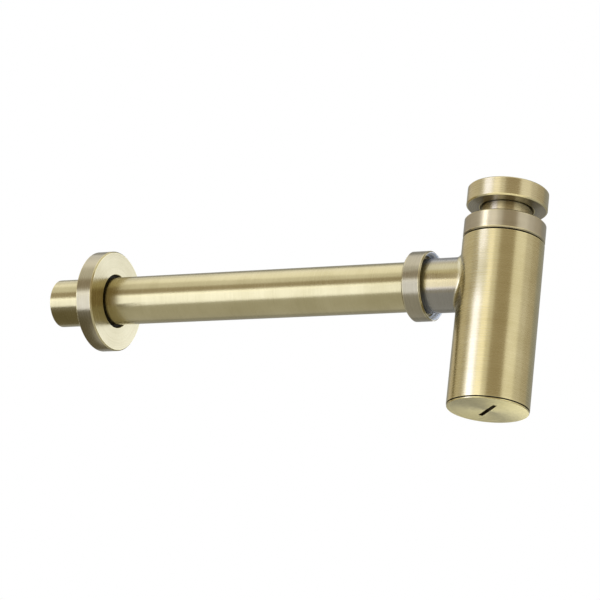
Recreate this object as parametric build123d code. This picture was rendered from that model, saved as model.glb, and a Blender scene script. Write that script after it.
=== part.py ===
from build123d import *
import os

# A basin bottle trap in brushed brass: inlet nut, dip tube, bottle with an outlet branch,
# cleaning plug, and a straight pipe to the wall with its cover flange.
# Millimetres. The origin is the centre of the inlet nut's mouth, +Z is up the inlet,
# and the wall pipe runs along -X.

# Tube and thread sizes
TUBE_OD = 32.0
TUBE_WALL = 1.0
THREAD_CREST_D = 39.0      # hole inside the inlet nut's thread, which the flange passes
THREAD_ROOT_D = 42.0       # root of the outlet nut's thread
THREAD_DEPTH = 1.2         # height of the ridges on a male thread
THREAD_GAP = 0.2           # room over those ridges

# Clearances
SLIDE_GAP = 0.3            # a tube sliding in a metal bore
SEAL_GAP = 0.08            # a rubber ring round a tube
TURN_GAP = 0.1             # flat faces that turn on each other
REST_GAP = 0.05            # rubber lying on its seat

# Edge breaks
EDGE = 0.8                 # outside edges that show
LEAD = 0.4                 # lead-in at mouths and tube ends
BREAK = 0.15               # bottle's edges beside the seams

# Inlet nut, washer and dip tube
INLET_NUT_OD = 51.4
INLET_NUT_HEIGHT = 12.3
INLET_NUT_FLOOR = 2.2
INLET_NUT_BORE_GAP = 1.2   # open ring round the neck
TUBE_FLANGE = 1.5
WASHER = 2.0
WASHER_WIDTH = 3.8         # between the washer's hole and its edge
INLET_THREAD_HEIGHT = 1.5  # ridges inside the inlet nut
THREAD_RUNOUT = 0.3        # thread stops this far over the washer
THREAD_RELIEF = 0.3        # undercut below the thread, deeper than its root
NECK = 9.5                 # bare tube between the inlet nut and the cap
DIP_TO_PLUG = 18.5         # end of the dip tube over the plug's floor

# Bottle and top cap
BODY_OD = 51.6
BODY_WALL = 2.0
END_WALL = 2.8             # wall behind the threads at both ends
SEAT_WALL = 1.8            # wall round the seal seats at both ends
BODY_LENGTH = 108.2
END_THREAD = 8.0
CAP_HEIGHT = 12.2
CAP_SKIRT = 9.5
CAP_SEAM = 1.2
SEAL_HEIGHT = 2.4
TUBE_SEAL = 3.0            # thickness of the ring round the dip tube
TUBE_SEAL_HEIGHT = 3.8
SEAL_BEVEL = 0.9

# Cleaning plug
PLUG_HEAD = 0.8
PLUG_EDGE = 0.3
PLUG_INSET = 0.3           # plug's edge inside the bottle's
PLUG_SEAM = 0.8
PLUG_SKIRT = 10.5
PLUG_SKIRT_WALL = 3.6
PLUG_FLOOR = 5.0
SLOT_LENGTH = 26.0
SLOT_WIDTH = 3.0
SLOT_DEPTH = 3.0
SLOT_ANGLE = -48.0

# Outlet branch, nut and seal, measured along -X from the bottle's axis
OUTLET_BELOW_CAP = 27.6
BRANCH_WALL = 1.1
BRANCH_FILLET = 3.2
STOP_STEP = 3.2            # pipe stop outside the chamber's wall
STOP_LIP = 1.0
OUTLET_NUT_STANDOFF = 19.4 # bare branch between the bottle and the nut
OUTLET_NUT_OD = 44.7
OUTLET_NUT_WIDTH = 12.6
OUTLET_NUT_FLOOR = 1.8
OUTLET_NUT_MOUTH = 4.5     # depth of the open mouth before the thread
SLIP_RING = 1.0
OUTLET_SEAL = 3.2
SEAL_TAPER = 1.7           # length of the taper that enters the branch
COLLAR_LIP = 0.9           # end face of the threaded collar

# Wall pipe and flange
PIPE_LENGTH = 292.2
PIPE_TO_STOP = 2.0
SPIGOT = 31.7              # pipe behind the flange
MARK_FROM_FLANGE = 5.0     # turned insertion mark behind the flange
MARK_WIDTH = 0.8
MARK_DEPTH = 0.2
FLANGE_OD = 67.4
FLANGE_THICK = 11.7
FLANGE_FACE = 2.6
FLANGE_RIM = 2.2
FLANGE_BORE_GAP = 1.9
FLANGE_HUB_WALL = 1.6
FLANGE_HUB_BACK = 2.0      # hub ends this far inside the rim
GRIP_RING_OVERLAP = 2.2    # ring's edge held in the hub
GRIP_RING_WIDTH = 4.0

# Radii
tube_r = TUBE_OD / 2
tube_bore_r = tube_r - TUBE_WALL
thread_crest_r = THREAD_CREST_D / 2
inlet_root_r = thread_crest_r + INLET_THREAD_HEIGHT
thread_root_r = THREAD_ROOT_D / 2
body_r = BODY_OD / 2
chamber_r = body_r - BODY_WALL
end_thread_r = body_r - END_WALL
seat_r = body_r - SEAT_WALL
skirt_r = end_thread_r - THREAD_DEPTH - THREAD_GAP
sliding_bore_r = tube_r + SLIDE_GAP
tube_seal_r = tube_r + SEAL_GAP
branch_r = sliding_bore_r + BRANCH_WALL
collar_r = thread_root_r - THREAD_DEPTH - THREAD_GAP

# Levels down the bottle's axis
nut_bottom = -INLET_NUT_HEIGHT
nut_floor = nut_bottom + INLET_NUT_FLOOR
flange_bottom = nut_floor + REST_GAP
flange_top = flange_bottom + TUBE_FLANGE
washer_top = flange_top + WASHER
cap_top = nut_bottom - NECK
cap_shoulder = cap_top - CAP_HEIGHT
outlet_z = cap_shoulder - OUTLET_BELOW_CAP
body_top = cap_shoulder - CAP_SEAM
body_end = body_top - BODY_LENGTH
plug_top = body_end - PLUG_SEAM
plug_face = plug_top - PLUG_HEAD
plug_floor = plug_face + PLUG_FLOOR
top_seat = cap_shoulder - SEAL_HEIGHT - TURN_GAP
end_seat = plug_top + SEAL_HEIGHT + TURN_GAP
dip_end = plug_floor + DIP_TO_PLUG

# Distances along the outlet from the bottle's axis
pipe_stop = chamber_r + STOP_STEP
pipe_start = pipe_stop + PIPE_TO_STOP
pipe_end = pipe_start + PIPE_LENGTH
outlet_nut_near = body_r + OUTLET_NUT_STANDOFF
outlet_nut_far = outlet_nut_near + OUTLET_NUT_WIDTH
outlet_nut_floor = outlet_nut_far - OUTLET_NUT_FLOOR
slip_ring_far = outlet_nut_floor - TURN_GAP
slip_ring_near = slip_ring_far - SLIP_RING
seal_far = slip_ring_near - TURN_GAP
seal_near = seal_far - OUTLET_SEAL
collar_end = seal_near + SEAL_TAPER - REST_GAP
collar_start = outlet_nut_near + OUTLET_NUT_MOUTH
flange_back = pipe_end - SPIGOT
flange_front = flange_back - FLANGE_THICK


def turned(outline):
    """A lathe piece: a closed outline of (radius, height) points taken round the Z axis."""
    line = Polyline(*[(r, 0, z) for r, z in outline], close=True)
    return revolve(make_face(line), Axis.Z)


def ring(inner_r, outer_r, low, high, bevel=0.0):
    """A plain ring, or one with bevelled corners like a squeezed rubber ring."""
    if bevel == 0:
        return turned([(inner_r, low), (outer_r, low), (outer_r, high), (inner_r, high)])
    return turned([
        (inner_r, low + bevel), (inner_r + bevel, low),
        (outer_r - bevel, low), (outer_r, low + bevel),
        (outer_r, high - bevel), (outer_r - bevel, high),
        (inner_r + bevel, high), (inner_r, high - bevel),
    ])


def on_outlet(piece):
    """Lay a piece made round Z on the outlet's axis, with its heights running along -X."""
    return Pos(0, 0, outlet_z) * Rot(0, -90, 0) * piece


def inlet_nut():
    nut_r = INLET_NUT_OD / 2
    bore_r = tube_r + INLET_NUT_BORE_GAP
    thread_end = washer_top + THREAD_RUNOUT
    relief_r = inlet_root_r + THREAD_RELIEF
    return turned([
        (bore_r, nut_bottom), (nut_r - EDGE, nut_bottom), (nut_r, nut_bottom + EDGE),
        (nut_r, -EDGE), (nut_r - EDGE, 0),
        (inlet_root_r + LEAD, 0), (inlet_root_r, -LEAD),
        (inlet_root_r, thread_end), (relief_r, thread_end),
        (relief_r, nut_floor), (bore_r, nut_floor),
    ])


def inlet_tube():
    flange_r = thread_crest_r - SLIDE_GAP
    return turned([
        (tube_bore_r, dip_end), (tube_r - LEAD, dip_end), (tube_r, dip_end + LEAD),
        (tube_r, flange_bottom), (flange_r, flange_bottom), (flange_r, flange_top),
        (tube_bore_r, flange_top),
    ])


def inlet_washer():
    washer_r = thread_crest_r - SLIDE_GAP
    return ring(washer_r - WASHER_WIDTH, washer_r, flange_top, washer_top)


def tube_seal_levels():
    """The ring sits half-way up the cap's head."""
    middle = cap_top - CAP_HEIGHT / 2
    return middle - TUBE_SEAL_HEIGHT / 2, middle + TUBE_SEAL_HEIGHT / 2


def top_cap():
    low, high = tube_seal_levels()
    groove_r = tube_seal_r + TUBE_SEAL + SLIDE_GAP
    skirt_end = cap_shoulder - CAP_SKIRT
    return turned([
        (sliding_bore_r + LEAD, cap_top), (body_r - EDGE, cap_top), (body_r, cap_top - EDGE),
        (body_r, cap_shoulder + EDGE), (body_r - EDGE, cap_shoulder), (skirt_r, cap_shoulder),
        (skirt_r, skirt_end + THREAD_DEPTH), (skirt_r - THREAD_DEPTH, skirt_end),
        (sliding_bore_r, skirt_end), (sliding_bore_r, low - TURN_GAP), (groove_r, low - TURN_GAP),
        (groove_r, high + TURN_GAP), (sliding_bore_r, high + TURN_GAP),
        (sliding_bore_r, cap_top - LEAD),
    ])


def tube_seal():
    low, high = tube_seal_levels()
    return ring(tube_seal_r, tube_seal_r + TUBE_SEAL, low, high, SEAL_BEVEL)


def end_seal(low):
    """The rubber ring under the cap's shoulder, and the same ring over the plug's head."""
    return ring(skirt_r + REST_GAP, seat_r - SLIDE_GAP, low, low + SEAL_HEIGHT)


def bottle_body():
    barrel = turned([
        (0, body_end), (body_r - BREAK, body_end), (body_r, body_end + BREAK),
        (body_r, body_top - BREAK), (body_r - BREAK, body_top), (0, body_top),
    ])
    branch = on_outlet(turned([(0, 0), (branch_r, 0), (branch_r, collar_start), (0, collar_start)]))
    shell = barrel + branch
    saddle = shell.edges().filter_by(lambda e: e.geom_type not in (GeomType.LINE, GeomType.CIRCLE))
    shell = fillet(saddle, BRANCH_FILLET)
    shell += on_outlet(ring(sliding_bore_r, collar_r, collar_start, collar_end, 0))

    step = chamber_r - end_thread_r
    top_thread_end = top_seat - END_THREAD
    end_thread_end = end_seat + END_THREAD
    chamber = turned([
        (0, body_end), (seat_r, body_end), (seat_r, end_seat), (end_thread_r, end_seat),
        (end_thread_r, end_thread_end), (chamber_r, end_thread_end + step),
        (chamber_r, top_thread_end - step), (end_thread_r, top_thread_end),
        (end_thread_r, top_seat), (seat_r, top_seat), (seat_r, body_top), (0, body_top),
    ])
    mouth_r = collar_r - COLLAR_LIP
    waterway = on_outlet(turned([
        (0, 0), (sliding_bore_r - STOP_LIP, 0), (sliding_bore_r - STOP_LIP, pipe_stop),
        (sliding_bore_r, pipe_stop), (sliding_bore_r, collar_end - SEAL_TAPER),
        (mouth_r, collar_end), (0, collar_end),
    ]))
    return shell - chamber - waterway


def cleaning_plug():
    head_r = body_r - PLUG_INSET
    skirt_end = plug_top + PLUG_SKIRT
    cup_r = skirt_r - PLUG_SKIRT_WALL
    plug = turned([
        (0, plug_face), (head_r - PLUG_EDGE, plug_face), (head_r, plug_face + PLUG_EDGE),
        (head_r, plug_top), (skirt_r, plug_top), (skirt_r, skirt_end - THREAD_DEPTH),
        (skirt_r - THREAD_DEPTH, skirt_end),
        (cup_r, skirt_end), (cup_r, plug_floor), (0, plug_floor),
    ])
    slot = Box(SLOT_LENGTH, SLOT_WIDTH, 2 * SLOT_DEPTH)
    return plug - Pos(0, 0, plug_face) * Rot(0, 0, SLOT_ANGLE) * slot


def outlet_nut():
    nut_r = OUTLET_NUT_OD / 2
    return on_outlet(turned([
        (thread_root_r + LEAD, outlet_nut_near), (nut_r - EDGE, outlet_nut_near),
        (nut_r, outlet_nut_near + EDGE), (nut_r, outlet_nut_far - EDGE),
        (nut_r - EDGE, outlet_nut_far), (sliding_bore_r, outlet_nut_far),
        (sliding_bore_r, outlet_nut_floor), (thread_root_r, outlet_nut_floor),
        (thread_root_r, outlet_nut_near + LEAD),
    ]))


def outlet_slip_ring():
    return on_outlet(ring(sliding_bore_r, thread_root_r - SLIDE_GAP, slip_ring_near, slip_ring_far))


def outlet_seal():
    mouth_r = collar_r - COLLAR_LIP
    taper_start = seal_near + SEAL_TAPER
    return on_outlet(turned([
        (tube_seal_r, seal_near), (sliding_bore_r, seal_near), (mouth_r, taper_start),
        (collar_r, taper_start), (collar_r, seal_far), (tube_seal_r, seal_far),
    ]))


def wall_pipe():
    mark = flange_back + MARK_FROM_FLANGE
    return on_outlet(turned([
        (tube_bore_r, pipe_start), (tube_r - LEAD, pipe_start), (tube_r, pipe_start + LEAD),
        (tube_r, mark), (tube_r - MARK_DEPTH, mark),
        (tube_r - MARK_DEPTH, mark + MARK_WIDTH), (tube_r, mark + MARK_WIDTH),
        (tube_r, pipe_end - LEAD), (tube_r - LEAD, pipe_end), (tube_bore_r, pipe_end),
    ]))


def grip_ring_span():
    near = flange_front + FLANGE_FACE
    return near, near + GRIP_RING_WIDTH


def wall_flange():
    outer_r = FLANGE_OD / 2
    bore_r = tube_r + FLANGE_BORE_GAP
    groove_r = bore_r + GRIP_RING_OVERLAP
    hub_r = groove_r + FLANGE_HUB_WALL
    hub_back = flange_back - FLANGE_HUB_BACK
    inner_face = flange_front + FLANGE_FACE
    near, far = grip_ring_span()
    return on_outlet(turned([
        (bore_r, flange_front + LEAD), (bore_r + LEAD, flange_front),
        (outer_r - EDGE, flange_front), (outer_r, flange_front + EDGE),
        (outer_r, flange_back - LEAD), (outer_r - LEAD, flange_back),
        (outer_r - FLANGE_RIM, flange_back), (outer_r - FLANGE_RIM, inner_face),
        (hub_r, inner_face), (hub_r, hub_back), (bore_r, hub_back), (bore_r, far + REST_GAP),
        (groove_r, far + REST_GAP), (groove_r, near), (bore_r, near),
    ]))


def flange_grip_ring():
    near, far = grip_ring_span()
    groove_r = tube_r + FLANGE_BORE_GAP + GRIP_RING_OVERLAP
    return on_outlet(ring(tube_seal_r, groove_r - REST_GAP, near + REST_GAP, far))


pieces = {
    "inlet_nut": inlet_nut(),
    "inlet_washer": inlet_washer(),
    "inlet_tube": inlet_tube(),
    "top_cap": top_cap(),
    "tube_seal": tube_seal(),
    "cap_seal": end_seal(cap_shoulder - SEAL_HEIGHT),
    "bottle_body": bottle_body(),
    "cleaning_plug": cleaning_plug(),
    "plug_seal": end_seal(plug_top),
    "outlet_nut": outlet_nut(),
    "outlet_slip_ring": outlet_slip_ring(),
    "outlet_seal": outlet_seal(),
    "wall_pipe": wall_pipe(),
    "wall_flange": wall_flange(),
    "flange_grip_ring": flange_grip_ring(),
}

os.makedirs("parts", exist_ok=True)
for name, piece in pieces.items():
    export_step(piece, f"parts/{name}.step")
    print(name, round(piece.volume), "mm3")
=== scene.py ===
# %% [markdown]
# A basin bottle trap in brushed brass.
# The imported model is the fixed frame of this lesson: fifteen turned pieces, already in their places.
# Blender adds what a lathe and a polishing belt leave on them: the brushed grain, the lacquer,
# the screw threads, and the studio that the metal mirrors.
# Everything is in metres, with the origin at the mouth of the inlet nut, +Z up the inlet
# and the wall pipe along -X.

# %% Load the frame
import math
from collections import namedtuple

import bpy
from mathutils import Matrix, Vector


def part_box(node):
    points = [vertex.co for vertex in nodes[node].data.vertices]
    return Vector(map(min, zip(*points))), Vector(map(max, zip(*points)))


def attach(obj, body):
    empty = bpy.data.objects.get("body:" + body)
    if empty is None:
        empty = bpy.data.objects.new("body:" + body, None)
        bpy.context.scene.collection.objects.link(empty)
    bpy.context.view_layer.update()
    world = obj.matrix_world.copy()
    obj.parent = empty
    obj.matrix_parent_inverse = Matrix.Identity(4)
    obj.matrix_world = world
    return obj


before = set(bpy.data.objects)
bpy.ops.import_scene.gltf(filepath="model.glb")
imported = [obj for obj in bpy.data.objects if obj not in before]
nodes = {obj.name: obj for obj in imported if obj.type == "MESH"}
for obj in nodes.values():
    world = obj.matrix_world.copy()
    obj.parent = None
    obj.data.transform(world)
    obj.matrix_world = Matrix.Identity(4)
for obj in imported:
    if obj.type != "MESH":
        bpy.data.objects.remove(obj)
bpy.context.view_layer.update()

MM = 0.001
print("pieces in the frame:", sorted(nodes))

# %% [markdown]
# Nearly every piece is round about one of two lines: the bottle's axis, which is the Z axis,
# and the outlet's axis, which runs along X at the height of the wall pipe.
# The height could be typed in, but the frame knows it, so it is read from the pipe's own box.

# %% The two turning axes
pipe_low, pipe_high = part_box("wall_pipe")
outlet_z = (pipe_low.z + pipe_high.z) / 2
body_low, body_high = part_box("bottle_body")
body_r = body_high.x
print(f"outlet axis at z {outlet_z / MM:.1f} mm, bottle radius {body_r / MM:.1f} mm")

# %% [markdown]
# The photograph was taken with a long lens from below and from the right, with the camera a little tilted.
# The view is given as an azimuth, an elevation and a roll about a point half-way along the pipe,
# because those are easier to reason about than a matrix. The matrix is then built from three unit vectors.

# %% Camera
CAMERA_AZIMUTH = math.radians(28.089)
CAMERA_ELEVATION = math.radians(-18.917)
CAMERA_ROLL = math.radians(7.159)
CAMERA_DISTANCE = 1.507
CAMERA_AIM = Vector((-0.140, 0, outlet_z))
AIM_RIGHT = 0.663 * MM
AIM_UP = -4.875 * MM
LENS = 139.08
SENSOR = 36.0


def heading(azimuth, elevation):
    """A unit vector: azimuth 0 is towards -Y and grows towards +X, elevation is up from level."""
    level = math.cos(elevation)
    return Vector((math.sin(azimuth) * level, -math.cos(azimuth) * level, math.sin(elevation)))


def make_camera():
    back = heading(CAMERA_AZIMUTH, CAMERA_ELEVATION)
    level_right = Vector((math.cos(CAMERA_AZIMUTH), math.sin(CAMERA_AZIMUTH), 0))
    level_up = back.cross(level_right)
    right = level_right * math.cos(CAMERA_ROLL) + level_up * math.sin(CAMERA_ROLL)
    up = back.cross(right)
    place = CAMERA_AIM + right * AIM_RIGHT + up * AIM_UP + back * CAMERA_DISTANCE
    camera = bpy.data.objects.new("camera", bpy.data.cameras.new("camera"))
    camera.data.sensor_width = SENSOR
    camera.data.lens = LENS
    camera.data.clip_start = 0.01
    camera.matrix_world = Matrix.Translation(place) @ Matrix((right, up, back)).transposed().to_4x4()
    bpy.context.scene.collection.objects.link(camera)
    bpy.context.scene.camera = camera
    return camera


camera = make_camera()
print("camera at", [round(v, 3) for v in camera.matrix_world.translation])

# %% [markdown]
# Shader nodes are many small boxes and wires. A few helpers keep the recipes below short:
# each one adds a node, feeds its inputs with wires or plain numbers, and hands back its output.

# %% Node helpers
def feed(tree, socket, value):
    """Wire an output into a socket, or set the socket when the value is a plain one."""
    if isinstance(value, bpy.types.NodeSocket):
        tree.links.new(value, socket)
    else:
        socket.default_value = value


def add_node(tree, kind, inputs=(), **settings):
    node = tree.nodes.new(kind)
    for name, value in settings.items():
        setattr(node, name, value)
    for key, value in dict(inputs).items():
        feed(tree, node.inputs[key], value)
    return node


def number(tree, operation, *values):
    return add_node(tree, "ShaderNodeMath", enumerate(values), operation=operation).outputs[0]


def vector(tree, operation, *values, output="Vector"):
    return add_node(tree, "ShaderNodeVectorMath", enumerate(values), operation=operation).outputs[output]


def span(tree, value, low, high, to_low=0.0, to_high=1.0):
    """Stretch a value from one range to another, held at both ends."""
    inputs = {"Value": value, "From Min": low, "From Max": high, "To Min": to_low, "To Max": to_high}
    return add_node(tree, "ShaderNodeMapRange", inputs).outputs["Result"]


def noise(tree, place, detail=2.0):
    inputs = {"Vector": place, "Scale": 1.0, "Detail": detail}
    return add_node(tree, "ShaderNodeTexNoise", inputs).outputs["Fac"]


def blend_colour(tree, share, first, second):
    node = add_node(tree, "ShaderNodeMix", data_type="RGBA")
    feed(tree, node.inputs[0], share)
    feed(tree, node.inputs[6], first)
    feed(tree, node.inputs[7], second)
    return node.outputs[2]


def new_group(name, inputs, outputs):
    """An empty shader group with named sockets, and its two end nodes."""
    group = bpy.data.node_groups.new(name, "ShaderNodeTree")
    for socket, kind in inputs.items():
        group.interface.new_socket(name=socket, in_out="INPUT", socket_type="NodeSocket" + kind)
    for socket, kind in outputs.items():
        group.interface.new_socket(name=socket, in_out="OUTPUT", socket_type="NodeSocket" + kind)
    start = group.nodes.new("NodeGroupInput")
    end = group.nodes.new("NodeGroupOutput")
    return group, start, end


def place_group(tree, group, inputs):
    return add_node(tree, "ShaderNodeGroup", inputs, node_tree=group).outputs


print("node helpers ready")

# %% [markdown]
# A lathe and a brushing belt leave fine lines that run round the piece: hoops on a tube, circles on a face.
# An image texture would need unwrapping and would repeat. Instead the group measures where a point lies:
# its height along the axis plus its distance from it changes across the lines and stays the same along them.
# Noise that is squeezed in that direction and stretched round the piece gives the lines on every face.

# %% Turned grain group
def make_turned_grain():
    inputs = {"Position": "Vector", "Fine Line": "Float", "Broad Line": "Float", "Line Length": "Float"}
    outputs = {"Fine": "Float", "Broad": "Float", "Height": "Float"}
    tree, start, end = new_group("turned_grain", inputs, outputs)
    place = start.outputs["Position"]
    part = add_node(tree, "ShaderNodeSeparateXYZ", {0: place}).outputs
    radius = vector(tree, "LENGTH", vector(tree, "MULTIPLY", place, (1, 1, 0)), output="Value")
    track = number(tree, "ADD", part["Z"], radius)
    along_x = number(tree, "DIVIDE", part["X"], start.outputs["Line Length"])
    along_y = number(tree, "DIVIDE", part["Y"], start.outputs["Line Length"])

    def lines(width):
        across = number(tree, "DIVIDE", track, width)
        place = add_node(tree, "ShaderNodeCombineXYZ", {0: along_x, 1: along_y, 2: across}).outputs[0]
        return noise(tree, place)

    fine = lines(start.outputs["Fine Line"])
    broad = span(tree, lines(start.outputs["Broad Line"]), 0.3, 0.7)
    feed(tree, end.inputs["Fine"], fine)
    feed(tree, end.inputs["Broad"], broad)
    feed(tree, end.inputs["Height"], number(tree, "MULTIPLY_ADD", broad, 0.5, fine))
    return tree


turned_grain = make_turned_grain()
print("group", turned_grain.name, [s.name for s in turned_grain.interface.items_tree])

# %% [markdown]
# No metal is one even colour. Antique brass is browner in soft clouds, where the dark finish was rubbed less,
# and rubber and nylon show faint flow marks from the mould. One group serves them all: large soft noise
# moves the colour between two tones, and a share of any finer pattern is added on top.

# %% Cloudy tone group
CLOUD_SHARE = 0.6
PATTERN_SHARE = 0.35


def make_cloudy_tone():
    inputs = {"Position": "Vector", "Cloud Size": "Float", "Pattern": "Float",
              "Light Tone": "Color", "Dark Tone": "Color"}
    tree, start, end = new_group("cloudy_tone", inputs, {"Color": "Color"})
    size = start.outputs["Cloud Size"]
    place = vector(tree, "DIVIDE", start.outputs["Position"], add_node(
        tree, "ShaderNodeCombineXYZ", {0: size, 1: size, 2: size}).outputs[0])
    cloud = span(tree, noise(tree, place, 3.0), 0.35, 0.65)
    clouds = number(tree, "MULTIPLY", cloud, CLOUD_SHARE)
    share = number(tree, "MULTIPLY_ADD", start.outputs["Pattern"], PATTERN_SHARE, clouds)
    colour = blend_colour(tree, share, start.outputs["Light Tone"], start.outputs["Dark Tone"])
    feed(tree, end.inputs["Color"], colour)
    return tree


cloudy_tone = make_cloudy_tone()
print("group", cloudy_tone.name)

# %% [markdown]
# Hands and cloths rub the dark finish off the corners first, so the edges show brighter, yellower metal.
# The same brighter colour also stands in for the glint of light along the edges, so it is partly real wear
# and partly a painted highlight.
# Edges could be picked by hand, but the Bevel node finds them all: near an edge its rounded normal leans away
# from the true one, and the more it leans, the nearer the edge is.
# A little noise breaks the worn and painted-highlight line, so that it is not a drawn stripe.

# %% Edge wear and painted glint group
PATCH_SIZE = 6 * MM
LEAN_START = 0.012
LEAN_FULL = 0.05


def make_edge_wear_and_glint():
    tree, start, end = new_group("edge_wear_and_glint", {"Position": "Vector", "Width": "Float"}, {"Mask": "Float"})
    bevel = add_node(tree, "ShaderNodeBevel", {"Radius": start.outputs["Width"]}, samples=8)
    true = add_node(tree, "ShaderNodeNewGeometry").outputs["Normal"]
    along = vector(tree, "DOT_PRODUCT", bevel.outputs["Normal"], true, output="Value")
    lean = number(tree, "SUBTRACT", 1.0, along)
    place = vector(tree, "DIVIDE", start.outputs["Position"], (PATCH_SIZE, PATCH_SIZE, PATCH_SIZE))
    patches = span(tree, noise(tree, place), 0.3, 0.6, 0.7, 1.0)
    edge = span(tree, lean, LEAN_START, LEAN_FULL)
    feed(tree, end.inputs["Mask"], number(tree, "MULTIPLY", edge, patches))
    return tree


edge_wear_and_glint = make_edge_wear_and_glint()
print("group", edge_wear_and_glint.name)

# %% [markdown]
# The opposite happens in corners. The polishing belt cannot reach into a seam, a slot or the mouth of a nut,
# so the dark finish stays there. The same darkening also stands in for the shade that falls in such places,
# so it is partly real patina and partly painted shade. Ambient occlusion finds them: it asks how much of the
# space close to a point is filled by other metal.

# %% Corner patina and painted shade group
OPEN_SPACE = 0.88
FILLED_SPACE = 0.40


def make_corner_patina_and_shade():
    tree, start, end = new_group("corner_patina_and_shade", {"Reach": "Float"}, {"Mask": "Float"})
    space = add_node(tree, "ShaderNodeAmbientOcclusion", {"Distance": start.outputs["Reach"]}, samples=8)
    feed(tree, end.inputs["Mask"], span(tree, space.outputs["AO"], OPEN_SPACE, FILLED_SPACE))
    return tree


corner_patina_and_shade = make_corner_patina_and_shade()
print("group", corner_patina_and_shade.name)

# %% [markdown]
# The brass itself: one recipe, used with a different turning axis and finish for each family of pieces.
# Brushed metal mirrors sharply along its lines and smears across them, which gives the straight streaks
# of light down the bottle. The shader does that with Anisotropic, as long as it is told which way the lines
# run, so the tangent is worked out from the axis and the point, in the piece's own space, and turned into
# the world's. A thin coat is the clear lacquer.

# %% Places and lines on the pieces
def new_material(name):
    material = bpy.data.materials.new(name)
    material.use_nodes = True
    tree = material.node_tree
    return material, tree, tree.nodes["Principled BSDF"]


def own_space(tree, output="Object"):
    return add_node(tree, "ShaderNodeTexCoord").outputs[output]


def z_part(tree, output):
    """The Z part of a point's place or normal in the piece's own space."""
    return add_node(tree, "ShaderNodeSeparateXYZ", {0: own_space(tree, output)}).outputs["Z"]


def about_bottle(tree):
    """Position with the bottle's axis as Z, and the direction of the lines round it."""
    place = own_space(tree)
    return place, vector(tree, "CROSS_PRODUCT", (0, 0, 1), place)


def about_outlet(tree):
    """The same for the outlet's axis."""
    place = vector(tree, "SUBTRACT", own_space(tree), (0, 0, outlet_z))
    part = add_node(tree, "ShaderNodeSeparateXYZ", {0: place}).outputs
    turned = add_node(tree, "ShaderNodeCombineXYZ", {0: part["Y"], 1: part["Z"], 2: part["X"]}).outputs[0]
    return turned, vector(tree, "CROSS_PRODUCT", (1, 0, 0), place)


def change_over(tree, share, first, second):
    node = add_node(tree, "ShaderNodeMix", data_type="VECTOR")
    feed(tree, node.inputs[0], share)
    feed(tree, node.inputs[4], first)
    feed(tree, node.inputs[5], second)
    return node.outputs[1]


BRANCH_START = body_r + 1.0 * MM
BRANCH_FULL = body_r + 2.4 * MM


def branch_share(tree):
    """0 on the bottle's own wall, 1 on the branch that leaves it."""
    flat = vector(tree, "MULTIPLY", own_space(tree), (1, 1, 0))
    return span(tree, vector(tree, "LENGTH", flat, output="Value"), BRANCH_START, BRANCH_FULL)


def about_both(tree):
    """The bottle's own lines, changing over to the branch's where it leaves the wall."""
    share = branch_share(tree)
    return [change_over(tree, share, a, b) for a, b in zip(about_bottle(tree), about_outlet(tree))]


print("places and lines ready")

# %% [markdown]
# The pieces of the photographed trap do not match exactly: the bottle is the most golden,
# the pipe more olive, and the cap, the outlet nut and the flange's rim are greyer, as if from another bath.
# Each finish is two tones for the clouds, the smoothest and roughest value of the grain,
# how much dark patina and painted shade lie in its corners, and how far its edges are worn and lit with a
# painted glint.
# Two pieces need more than one finish. The branch is darker than the bottle, with a grey painted shade on its
# underside and a grey painted reflection on its top, and the inlet nut's underside is painted darker and
# duller as painted shade.

# %% Brushed brass recipe
# A finish also says how far its corners are darkened, as patina and painted shade, and how far its edges are
# brightened, as wear and a painted glint.
Finish = namedtuple("Finish", "light dark smooth rough patina worn")
GOLDEN = Finish((0.63, 0.558, 0.315, 1), (0.52, 0.448, 0.225, 1), 0.24, 0.29, 0.55, 0.0)
TOP = Finish((0.62, 0.543, 0.320, 1), (0.51, 0.438, 0.235, 1), 0.24, 0.29, 0.55, 1.0)
# Painted shade: the inlet nut's underside is given this darker, greyer finish.
TOP_UNDER_PAINTED_SHADE = Finish((0.40, 0.355, 0.255, 1), (0.32, 0.282, 0.195, 1), 0.24, 0.29, 0.95, 1.0)
PLUG = Finish((0.63, 0.555, 0.270, 1), (0.51, 0.440, 0.190, 1), 0.22, 0.28, 0.85, 1.0)
OLIVE = Finish((0.56, 0.490, 0.270, 1), (0.46, 0.395, 0.200, 1), 0.22, 0.28, 0.15, 1.0)
GREY = Finish((0.52, 0.465, 0.335, 1), (0.41, 0.360, 0.240, 1), 0.28, 0.34, 0.85, 1.0)
SMOKED = Finish((0.37, 0.327, 0.220, 1), (0.29, 0.253, 0.160, 1), 0.22, 0.28, 0.60, 0.8)
BRANCH = Finish((0.47, 0.395, 0.185, 1), (0.38, 0.310, 0.135, 1), 0.24, 0.29, 0.30, 0.0)
# Painted shade and painted reflection: the branch's underside and top get greyer tones by the way they face.
BRANCH_UNDER_PAINTED_SHADE = Finish((0.36, 0.340, 0.285, 1), (0.29, 0.270, 0.220, 1), 0.24, 0.29, 0.30, 0.0)
BRANCH_TOP_PAINTED_REFLECTION = Finish((0.40, 0.400, 0.410, 1), (0.31, 0.310, 0.320, 1), 0.24, 0.29, 0.30, 0.0)
RIM = Finish((0.46, 0.405, 0.270, 1), (0.37, 0.322, 0.195, 1), 0.22, 0.28, 0.60, 1.0)
# Bright worn colour for the edges, also used as a painted glint on them.
WORN_AND_GLINT = (0.80, 0.70, 0.36, 1)
WORN_AND_GLINT_WIDTH = 1.1 * MM
WORN_AND_GLINT_END = 4 * MM
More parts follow.
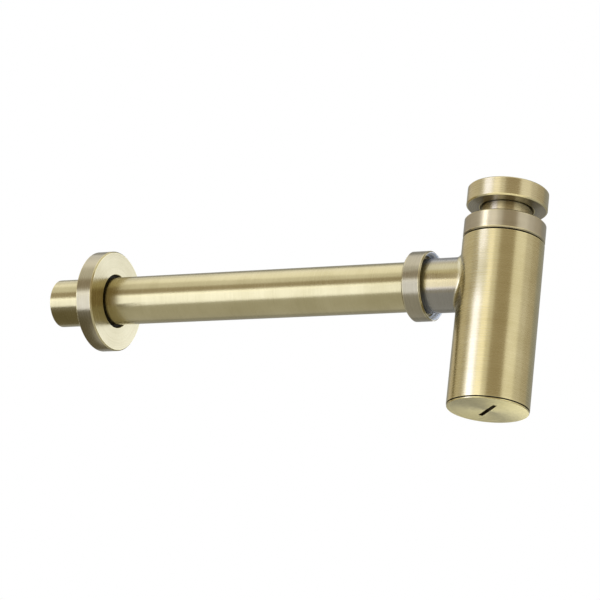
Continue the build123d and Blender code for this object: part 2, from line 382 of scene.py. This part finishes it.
# Dark patina colour, also laid into corners and gaps as painted shade.
PATINA_AND_SHADE = (0.095, 0.074, 0.048, 1)
PATINA_AND_SHADE_REACH = 8 * MM
FINE_LINE = 0.22 * MM
BROAD_LINE = 0.6 * MM
LINE_LENGTH = 70 * MM
CLOUD_SIZE = 22 * MM
GRAIN_DEPTH = 0.001 * MM
UPRIGHT_SMEAR = 0.70
LEVEL_SMEAR = 0.40
GRAIN_STRENGTH = 0.5
LACQUER = 0.35
LACQUER_ROUGH = 0.22
BRANCH_SHADE_LOOKS_DOWN = (-0.36, -0.62)
BRANCH_REFLECTION_LOOKS_UP = (0.46, 0.74)
NUT_SHADE_LOOKS_DOWN = (-0.75, -0.95)


def mix_finish(tree, share, first, second):
    """A finish that changes over from one to another."""
    colours = [blend_colour(tree, share, a, b) for a, b in zip(first[:2], second[:2])]
    values = [span(tree, share, 0.0, 1.0, a, b) for a, b in zip(first[2:], second[2:])]
    return Finish(*colours, *values)


def body_finish(tree):
    """The bottle is golden and wears bright at its two ends, with a painted glint there, and its branch is
    darker, with a grey painted shade below and a grey painted reflection on top.
    """
    up = z_part(tree, "Normal")
    height = z_part(tree, "Object")
    near_top = number(tree, "GREATER_THAN", height, body_high.z - WORN_AND_GLINT_END)
    near_bottom = number(tree, "LESS_THAN", height, body_low.z + WORN_AND_GLINT_END)
    lower = mix_finish(tree, span(tree, up, *BRANCH_SHADE_LOOKS_DOWN), BRANCH, BRANCH_UNDER_PAINTED_SHADE)
    branch = mix_finish(tree, span(tree, up, *BRANCH_REFLECTION_LOOKS_UP), lower, BRANCH_TOP_PAINTED_REFLECTION)
    whole = mix_finish(tree, branch_share(tree), GOLDEN, branch)
    return whole._replace(worn=number(tree, "ADD", near_top, near_bottom))


def nut_finish_with_painted_shade(tree):
    """The inlet nut's underside is painted darker and duller: painted shade under the nut."""
    return mix_finish(tree, span(tree, z_part(tree, "Normal"), *NUT_SHADE_LOOKS_DOWN), TOP, TOP_UNDER_PAINTED_SHADE)


def turned_tone(tree, place, light, dark):
    """The grain of a turned piece, and its colour."""
    grain = place_group(tree, turned_grain, {
        "Position": place, "Fine Line": FINE_LINE, "Broad Line": BROAD_LINE, "Line Length": LINE_LENGTH})
    tone = place_group(tree, cloudy_tone, {
        "Position": own_space(tree), "Cloud Size": CLOUD_SIZE, "Pattern": grain["Broad"],
        "Light Tone": light, "Dark Tone": dark})
    return grain, tone["Color"]


def make_brass(name, about, finish, smear):
    """Brushed brass about an axis. A finish that varies is given as a function."""
    material, tree, shader = new_material(name)
    place, lines = about(tree)
    if callable(finish):
        finish = finish(tree)
    grain, colour = turned_tone(tree, place, finish.light, finish.dark)
    wear_and_glint = place_group(tree, edge_wear_and_glint, {"Position": own_space(tree), "Width": WORN_AND_GLINT_WIDTH})
    patina = place_group(tree, corner_patina_and_shade, {"Reach": PATINA_AND_SHADE_REACH})
    # Painted shade: corners and gaps are darkened towards the patina colour, partly real patina and partly
    # the shade that falls there.
    shade = number(tree, "MULTIPLY", patina["Mask"], finish.patina)
    aged_and_shaded = blend_colour(tree, shade, colour, PATINA_AND_SHADE)
    open_edge = number(tree, "MULTIPLY", wear_and_glint["Mask"], span(tree, patina["Mask"], 0.5, 0.9, 1.0, 0.0))
    rubbed_and_glint = number(tree, "MULTIPLY", open_edge, finish.worn)
    world_lines = add_node(tree, "ShaderNodeVectorTransform", {0: vector(tree, "NORMALIZE", lines)},
                           vector_type="VECTOR", convert_from="OBJECT", convert_to="WORLD").outputs[0]
    bump = add_node(tree, "ShaderNodeBump", {
        "Height": grain["Height"], "Strength": GRAIN_STRENGTH, "Distance": GRAIN_DEPTH})
    # Painted highlight: edges are blended towards the bright worn colour, partly real wear and partly a
    # painted glint.
    feed(tree, shader.inputs["Base Color"], blend_colour(tree, rubbed_and_glint, aged_and_shaded, WORN_AND_GLINT))
    feed(tree, shader.inputs["Roughness"], span(tree, grain["Fine"], 0.3, 0.7, finish.smooth, finish.rough))
    feed(tree, shader.inputs["Normal"], bump.outputs[0])
    feed(tree, shader.inputs["Tangent"], world_lines)
    shader.inputs["Metallic"].default_value = 1.0
    shader.inputs["Anisotropic"].default_value = smear
    shader.inputs["Anisotropic Rotation"].default_value = 0.25
    shader.inputs["Coat Weight"].default_value = LACQUER
    shader.inputs["Coat Roughness"].default_value = LACQUER_ROUGH
    return material


brass_neck = make_brass("brushed_brass_neck", about_bottle, TOP, UPRIGHT_SMEAR)
brass_inlet_nut = make_brass("brushed_brass_inlet_nut", about_bottle, nut_finish_with_painted_shade, UPRIGHT_SMEAR)
brass_plug = make_brass("brushed_brass_plug", about_bottle, PLUG, UPRIGHT_SMEAR)
brass_cap = make_brass("brushed_brass_cap", about_bottle, GREY, UPRIGHT_SMEAR)
brass_body = make_brass("brushed_brass_body", about_both, body_finish, UPRIGHT_SMEAR)
brass_on_outlet = make_brass("brushed_brass_outlet_axis", about_outlet, OLIVE, LEVEL_SMEAR)
brass_nut = make_brass("brushed_brass_outlet_nut", about_outlet, SMOKED, LEVEL_SMEAR)
brass_rim = make_brass("brushed_brass_flange_rim", about_outlet, RIM, LEVEL_SMEAR)
print("brass materials:", [m.name for m in bpy.data.materials if m.name.startswith("brushed_brass")])

# %% [markdown]
# Inside the outlet nut the brass finish stops: the plating below it shows as bright, cool nickel.
# It is turned too, so it takes the same grain with tones of its own.
# It lies deep in the nut, where a mirror would show only the dark pipe, so it is given little metallic gloss.

# %% Bare nickel
NICKEL_LIGHT = (0.84, 0.90, 0.98, 1)
NICKEL_DARK = (0.66, 0.72, 0.82, 1)
NICKEL_SMOOTH = 0.24
NICKEL_ROUGH = 0.36


def make_nickel():
    material, tree, shader = new_material("bare_nickel")
    place = about_outlet(tree)[0]
    grain, colour = turned_tone(tree, place, NICKEL_LIGHT, NICKEL_DARK)
    feed(tree, shader.inputs["Base Color"], colour)
    feed(tree, shader.inputs["Roughness"], span(tree, grain["Fine"], 0.3, 0.7, NICKEL_SMOOTH, NICKEL_ROUGH))
    shader.inputs["Metallic"].default_value = 0.1
    return material


bare_nickel = make_nickel()
print("made", bare_nickel.name)

# %% [markdown]
# The seals are black moulded rubber and the slip ring is white nylon. Both are moulded and have no
# turning lines: a fine even speckle in the surface and soft clouds in the colour are enough.

# %% Moulded rubber and nylon
SPECKLE = 0.35 * MM


def make_moulded(name, light, dark, rough_low, rough_high, speckle_depth):
    material, tree, shader = new_material(name)
    place = own_space(tree)
    speckle = noise(tree, vector(tree, "DIVIDE", place, (SPECKLE, SPECKLE, SPECKLE)))
    tone = place_group(tree, cloudy_tone, {
        "Position": place, "Cloud Size": CLOUD_SIZE, "Pattern": speckle,
        "Light Tone": light, "Dark Tone": dark})
    bump = add_node(tree, "ShaderNodeBump", {
        "Height": speckle, "Strength": GRAIN_STRENGTH, "Distance": speckle_depth})
    feed(tree, shader.inputs["Base Color"], tone["Color"])
    feed(tree, shader.inputs["Roughness"], span(tree, speckle, 0.3, 0.7, rough_low, rough_high))
    feed(tree, shader.inputs["Normal"], bump.outputs[0])
    return material


black_rubber = make_moulded(
    "black_rubber", (0.042, 0.041, 0.040, 1), (0.018, 0.018, 0.018, 1), 0.55, 0.75, 0.03 * MM)
white_nylon = make_moulded(
    "white_nylon", (0.84, 0.83, 0.79, 1), (0.76, 0.75, 0.70, 1), 0.38, 0.50, 0.01 * MM)
print("made", black_rubber.name, "and", white_nylon.name)

# %% [markdown]
# Each node of the frame keeps its shape and gets its finish. Two nodes take a second one on some faces:
# those of the outlet nut that look inwards are bare nickel, and the outer wall of the flange
# is the greyer rim. The faces are picked by how far they lie from the outlet's axis
# and how much they look away from it.

# %% Dress the frame
FINISHES = {
    brass_neck: ("inlet_tube",),
    brass_inlet_nut: ("inlet_nut",),
    brass_plug: ("cleaning_plug",),
    brass_cap: ("top_cap",),
    brass_body: ("bottle_body",),
    brass_on_outlet: ("wall_pipe", "wall_flange"),
    brass_nut: ("outlet_nut",),
    black_rubber: ("inlet_washer", "tube_seal", "cap_seal", "plug_seal", "outlet_seal", "flange_grip_ring"),
    white_nylon: ("outlet_slip_ring",),
}


def dress(node, material):
    mesh = nodes[node].data
    mesh.materials.clear()
    mesh.materials.append(material)


for material, names in FINISHES.items():
    for name in names:
        dress(name, material)
print("dressed", sum(len(names) for names in FINISHES.values()), "nodes")

# %% Second finishes
RIM_R = 32 * MM
LOOKS_IN = -0.3
LOOKS_OUT = 0.8


def second_finish(node, material, chosen):
    """Give a second material to faces chosen by their distance from the outlet's axis and their look."""
    mesh = nodes[node].data
    mesh.materials.append(material)
    count = 0
    for face in mesh.polygons:
        from_axis = Vector((0, face.center.y, face.center.z - outlet_z))
        if chosen(from_axis.length, face.normal.dot(from_axis.normalized())):
            face.material_index = 1
            count += 1
    print(f"{material.name} on {count} faces of {node}")


second_finish("outlet_nut", bare_nickel, lambda radius, away: away < LOOKS_IN)
second_finish("wall_flange", brass_rim, lambda radius, away: radius > RIM_R and away > LOOKS_OUT)

# %% [markdown]
# The frame leaves the screw threads plain, so they are cut here as real ridges.
# A ridge is a small flat-topped section carried round a helix, growing from nothing at its start and fading
# at its end, as a thread does where the tool leaves the metal. A male ridge stands out from its root
# and a female one stands in. A twisted curve with a bevel would do it too, but its section leans as it turns.

# %% Thread ridges
RIDGE_STEPS = 72
RIDGE_FADE = 0.2
RIDGE_SINK = 0.05 * MM
ROOT_HALF = 0.42
TOP_HALF = 0.12


def make_thread(name, body, material, root_r, height, pitch, start, end, along_outlet=False, meets=None):
    """A helical ridge on a root radius, between two levels of its axis. A negative height is a female thread.
    Where it runs in another thread, meets is the level at which that one starts."""
    length = end - start
    turns = length / pitch
    steps = max(8, round(turns * RIDGE_STEPS))
    half_root = ROOT_HALF * pitch
    half_top = TOP_HALF * pitch
    sink = -math.copysign(RIDGE_SINK, height)
    turned_before = 0 if meets is None else (start - meets) / pitch - 0.5
    points = []
    for i in range(steps + 1):
        along = i / steps
        angle = (turned_before + along * turns) * math.tau
        grown = min(1, along * turns / RIDGE_FADE, (1 - along) * turns / RIDGE_FADE)
        level = start + along * length
        for radius, offset in (
            (root_r + sink, -half_root), (root_r + height * grown, -half_top),
            (root_r + height * grown, half_top), (root_r + sink, half_root),
        ):
            point = Vector((radius * math.cos(angle), radius * math.sin(angle), level + offset))
            points.append(Vector((-point.z, point.y, point.x + outlet_z)) if along_outlet else point)
    faces = [(3, 2, 1, 0), tuple(steps * 4 + k for k in range(4))]
    for i in range(steps):
        for k in range(4):
            a, b = i * 4 + k, i * 4 + (k + 1) % 4
            faces.append((a, b, b + 4, a + 4))
    if height > 0:
        # A male section runs the other way round than a female one, so its faces are turned to look outward.
        faces = [face[::-1] for face in faces]
    mesh = bpy.data.meshes.new(name)
    mesh.from_pydata(points, [], faces)
    mesh.materials.append(material)
    piece = bpy.data.objects.new(name, mesh)
    bpy.context.scene.collection.objects.link(piece)
    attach(piece, body)
    print(f"{name}: {turns:.1f} turns, {len(mesh.polygons)} faces")
    return piece


# %% [markdown]
# Five threads show when the trap is taken apart. The cap and the plug have a fine thread on their skirts,
# the branch has a pipe thread on its collar, and the inlet nut has the same pipe thread inside.
# The outlet nut's thread runs in the collar's, so it is set half a pitch off:
# its ridge lies in the other's groove.
# Their levels come from the boxes of the pieces that carry them.

# %% The five threads
FINE_PITCH = 2.0 * MM
PIPE_PITCH = 2.309 * MM
RIDGE_HEIGHT = 1.1 * MM
SKIRT_R = 21.6 * MM
COLLAR_R = 19.6 * MM
NUT_ROOT_R = 21.0 * MM
INLET_RIDGE = 1.4 * MM
RUNOUT = 1.4 * MM
COLLAR_THREAD = 2.6 * MM
COLLAR_LEAD = 1.1 * MM
NUT_THREAD_END = 4.5 * MM
INLET_LEAD = 1.6 * MM
cap_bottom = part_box("top_cap")[0].z
cap_seal_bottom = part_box("cap_seal")[0].z
plug_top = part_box("cleaning_plug")[1].z
plug_seal_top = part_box("plug_seal")[1].z
washer_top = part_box("inlet_washer")[1].z
nut_mouth = -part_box("outlet_nut")[1].x
collar_end = -body_low.x
collar_thread_start = collar_end - COLLAR_THREAD

make_thread("cap_thread", "top_cap", brass_cap, SKIRT_R, RIDGE_HEIGHT, FINE_PITCH,
            cap_bottom + 2 * RUNOUT, cap_seal_bottom - RUNOUT)
make_thread("plug_thread", "cleaning_plug", brass_plug, SKIRT_R, RIDGE_HEIGHT, FINE_PITCH,
            plug_seal_top + RUNOUT, plug_top - 2 * RUNOUT)
make_thread("collar_thread", "bottle", brass_on_outlet, COLLAR_R, RIDGE_HEIGHT, PIPE_PITCH,
            collar_thread_start, collar_end - COLLAR_LEAD, along_outlet=True)
make_thread("outlet_nut_thread", "outlet_nut", bare_nickel, NUT_ROOT_R, -RIDGE_HEIGHT, PIPE_PITCH,
            nut_mouth + RUNOUT, nut_mouth + NUT_THREAD_END, along_outlet=True, meets=collar_thread_start)
make_thread("inlet_thread", "inlet_nut", brass_inlet_nut, NUT_ROOT_R, -INLET_RIDGE, PIPE_PITCH,
            washer_top + INLET_LEAD, -INLET_LEAD)

# %% [markdown]
# Metal is mostly what it mirrors, so the studio is half of the finish.
# Softboxes stand round the trap and give the bright streaks. A dark band hangs level round the room,
# and gives the dark line along the pipe and the calm brown of the bottle between its lights.
# Sizes are given as angles seen from the trap, which is how they appear in the metal.
# One box for all would be simpler, but the pieces differ in tone and in how far they smear their light,
# so each family has boxes of its own, and light linking says which pieces a box shines on.

# %% Studio helpers
STUDIO_CENTRE = Vector((-0.10, 0, -0.075))
LAMP_DISTANCE = 1.45


def soft_box(name, azimuths, elevations, colour, lit, shaded_by=None,
             centre=STUDIO_CENTRE, distance=LAMP_DISTANCE):
    """An area lamp that covers a range of azimuths and elevations, in degrees, at a given brightness."""
    middle = heading(math.radians(sum(azimuths) / 2), math.radians(sum(elevations) / 2))
    lamp = bpy.data.lights.new(name, "AREA")
    lamp.shape = "RECTANGLE"
    lamp.size = 2 * distance * math.tan(math.radians(azimuths[1] - azimuths[0]) / 2)
    lamp.size_y = 2 * distance * math.tan(math.radians(elevations[1] - elevations[0]) / 2)
    brightness = max(colour)
    lamp.color = [c / brightness for c in colour]
    lamp.energy = 4 * lamp.size * lamp.size_y * brightness
    piece = bpy.data.objects.new(name, lamp)
    piece.location = centre + middle * distance
    piece.rotation_euler = middle.to_track_quat("Z", "Y").to_euler()
    piece.visible_camera = False
    bpy.context.scene.collection.objects.link(piece)
    piece.light_linking.receiver_collection = lit
    if shaded_by:
        piece.light_linking.blocker_collection = shaded_by
    print(f"{name}: {lamp.size:.2f} by {lamp.size_y:.2f} m, {lamp.energy:.1f} W")
    return piece


def card(name, points, faces, colour):
    """A plain glowing card that is seen only in reflections."""
    mesh = bpy.data.meshes.new(name)
    mesh.from_pydata(points, [], faces)
    material, tree, shader = new_material(name)
    shader.inputs["Base Color"].default_value = (0, 0, 0, 1)
    shader.inputs["Specular IOR Level"].default_value = 0
    shader.inputs["Emission Color"].default_value = (*colour, 1)
    shader.inputs["Emission Strength"].default_value = 1.0
    mesh.materials.append(material)
    piece = bpy.data.objects.new(name, mesh)
    for ray in ("camera", "diffuse", "shadow", "transmission"):
        setattr(piece, "visible_" + ray, False)
    bpy.context.scene.collection.objects.link(piece)
    return piece


def flag(name, azimuths, elevations, distance, colour, steps=48):
    """A curved card round the trap, darker than the white room."""
    points = []
    for i in range(steps + 1):
        azimuth = math.radians(azimuths[0] + (azimuths[1] - azimuths[0]) * i / steps)
        out = heading(azimuth, 0) * distance
        for elevation in elevations:
            points.append(STUDIO_CENTRE + out + Vector((0, 0, distance * math.tan(math.radians(elevation)))))
    return card(name, points, [(2 * i, 2 * i + 1, 2 * i + 3, 2 * i + 2) for i in range(steps)], colour)


def close_card(name, low, high, colour):
    """A flat card close to the trap, between two corners that share their y or their z."""
    before = (high[0], low[1], low[2])
    after = (low[0], high[1], high[2])
    return card(name, [low, before, high, after], [(0, 1, 2, 3)], colour)


def gather(name, pieces):
    """A collection that a lamp can be linked to."""
    group = bpy.data.collections.new(name)
    for piece in pieces:
        group.objects.link(nodes[piece])
    return group


upright = gather("upright_pieces", ("inlet_nut", "inlet_tube", "top_cap", "bottle_body", "cleaning_plug"))
golden = gather("golden_pieces", ("inlet_nut", "inlet_tube", "bottle_body", "cleaning_plug"))
cap_only = gather("cap_only", ("top_cap",))
cap_and_nut = gather("cap_and_nut", ("top_cap", "inlet_nut"))
level = gather("level_pieces", ("outlet_nut", "wall_pipe", "wall_flange"))
plug_only = gather("plug_only", ("cleaning_plug",))
nut_only = gather("nut_only", ("outlet_nut",))
body_only = gather("body_only", ("bottle_body",))
print("studio helpers ready")

# %% [markdown]
# Three boxes in one place, each narrower and brighter than the last, give the bottle's streak its soft
# shoulders and its white core. They are bluish, because brass takes the blue out of the light it mirrors.
# The cap is greyer, so its two boxes are more neutral. The edge box lies low in front and lights the rounded
# lower edges of the cap and the inlet nut. The fills and the side boxes carry the second, broader streak.

# %% Boxes for the upright pieces
STREAK = (-29, 28)
soft_box("bottle_wide", (-53, -15), STREAK, (0.42, 0.44, 0.52), golden)
soft_box("bottle_box", (-46, -19), STREAK, (0.50, 0.56, 1.05), golden)
soft_box("bottle_core", (-42, -24), (-32, 17), (0.75, 0.88, 1.95), golden)
soft_box("cap_wide", (-48, -17), STREAK, (0.72, 0.74, 0.82), cap_only)
soft_box("cap_box", (-39, -27), STREAK, (2.6, 2.7, 3.1), cap_only)
soft_box("edge_box", (-15, 60), (-86, -54), (0.62, 0.59, 0.48), cap_and_nut, distance=1.0)
soft_box("fill_near", (-16, 2), STREAK, (0.60, 0.60, 0.64), upright)
soft_box("fill_far", (-16, 15), STREAK, (0.28, 0.28, 0.28), upright)
soft_box("left_box", (-125, -62), STREAK, (0.13, 0.12, 0.09), golden)
soft_box("side_box", (56, 88), STREAK, (0.30, 0.31, 0.32), upright)
soft_box("side_wide", (45, 117), STREAK, (0.155, 0.165, 0.20), upright)

# %% [markdown]
# The level pieces have one box for the streak along the pipe and one high up for the line along its top,
# and the branch has a high box of its own. The box by the wall stands close behind the trap, where only the
# face of the flange mirrors it. The mouth box shines into the outlet nut, and only the nut itself
# may shade it, or the branch would hide the mouth from it. The box under the plug lights its flat bottom.

# %% Boxes for the level pieces and the small places
flange_low, flange_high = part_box("wall_flange")
flange_face = Vector((flange_high.x, 0, outlet_z))
soft_box("pipe_box", (-47, -17), (-37, 4.5), (1.04, 1.14, 1.55), level)
soft_box("sky_box", (-75, -30), (48, 80), (0.35, 0.36, 0.42), level)
soft_box("branch_box", (-75, -30), (46, 68), (0.30, 0.38, 0.75), body_only)
soft_box("wall_box", (135, 160), (-10, 27), (1.00, 1.10, 1.5), level, centre=flange_face, distance=0.62)
soft_box("mouth_box", (0, 40), (-60, 60), (2.5, 2.6, 2.9), nut_only, shaded_by=nut_only)
soft_box("plug_box", (185, 197), (-70, -2), (1.30, 1.28, 1.05), plug_only)

# %% [markdown]
# A white room alone would wash the metal out, so darker flags stand in it: a band level with the eye,
# one behind the camera, one behind the trap and one at the left.

# %% Flags round the room
FLAG_DISTANCE = 1.60
BAND_DISTANCE = 1.65
BAND_TONE = (0.50, 0.44, 0.36)
flag("horizon_band", (-180, 180), (8, 28), BAND_DISTANCE, BAND_TONE, steps=96)
flag("camera_flag", (16, 60), (-35, 45), FLAG_DISTANCE, (0.46, 0.39, 0.29))
flag("back_flag", (140, 235), (-35, 60), FLAG_DISTANCE, (0.38, 0.38, 0.36))
flag("left_flag", (-125, -55), (-50, 3), FLAG_DISTANCE, (0.26, 0.215, 0.14))
print("four flags")

# %% [markdown]
# Three small cards stand close to the trap, as a photographer would hold a strip of board into a reflection.
# The finger is a dark strip before the outlet nut and the branch, and the low card darkens the underside
# of the pipe's wall end. The veil hangs before the bottle, level with the branch. It is as bright as the room
# but shades the boxes, so the bottle's streak is softer there.

# %% Cards close to the trap
FINGER_Y = -64 * MM
VEIL_Y = -72 * MM
LOW_CARD_Z = -108 * MM
close_card(
    "finger", (-72 * MM, FINGER_Y, outlet_z + 4.5 * MM), (-45 * MM, FINGER_Y, outlet_z + 33 * MM), BAND_TONE)
veil = close_card(
    "veil", (-58 * MM, VEIL_Y, outlet_z + 2 * MM), (-12 * MM, VEIL_Y, outlet_z + 26 * MM), (1.05, 1.05, 1.2))
veil.visible_shadow = True
close_card(
    "low_card", (-0.42, -0.070, LOW_CARD_Z), (flange_low.x - 2 * MM, 0.05, LOW_CARD_Z), (0.19, 0.17, 0.115))
print("three close cards")

# %% [markdown]
# The background is plain white, and the metal mirrors it at the same level, so the world is white for the
# camera, for glossy rays and for transmitted ones, and a softer grey where it only lights the scene.
# The floor is a wide pale sheet well below the trap, which hangs from its basin and stands on nothing.

# %% World and floor
FLOOR_Z = -1.2
FLOOR_HALF = 20.0
AMBIENT = 0.75


def make_world():
    world = bpy.data.worlds.new("white_studio")
    bpy.context.scene.world = world
    world.use_nodes = True
    tree = world.node_tree
    ray = add_node(tree, "ShaderNodeLightPath").outputs
    seen = number(tree, "MAXIMUM", ray["Is Camera Ray"], number(
        tree, "MAXIMUM", ray["Is Glossy Ray"], ray["Is Transmission Ray"]))
    colour = blend_colour(tree, seen, (AMBIENT, AMBIENT, AMBIENT, 1), (1, 1, 1, 1))
    feed(tree, tree.nodes["Background"].inputs["Color"], colour)
    return world


def make_floor():
    mesh = bpy.data.meshes.new("floor")
    corners = [(-1, -1), (1, -1), (1, 1), (-1, 1)]
    mesh.from_pydata([(x * FLOOR_HALF, y * FLOOR_HALF, FLOOR_Z) for x, y in corners], [], [(0, 1, 2, 3)])
    material, tree, shader = new_material("pale_floor")
    shader.inputs["Base Color"].default_value = (0.80, 0.80, 0.79, 1)
    shader.inputs["Roughness"].default_value = 0.9
    mesh.materials.append(material)
    floor = bpy.data.objects.new("floor", mesh)
    bpy.context.scene.collection.objects.link(floor)
    return floor


make_world()
make_floor()
bpy.context.scene.view_settings.view_transform = "Standard"
print("white world and pale floor")
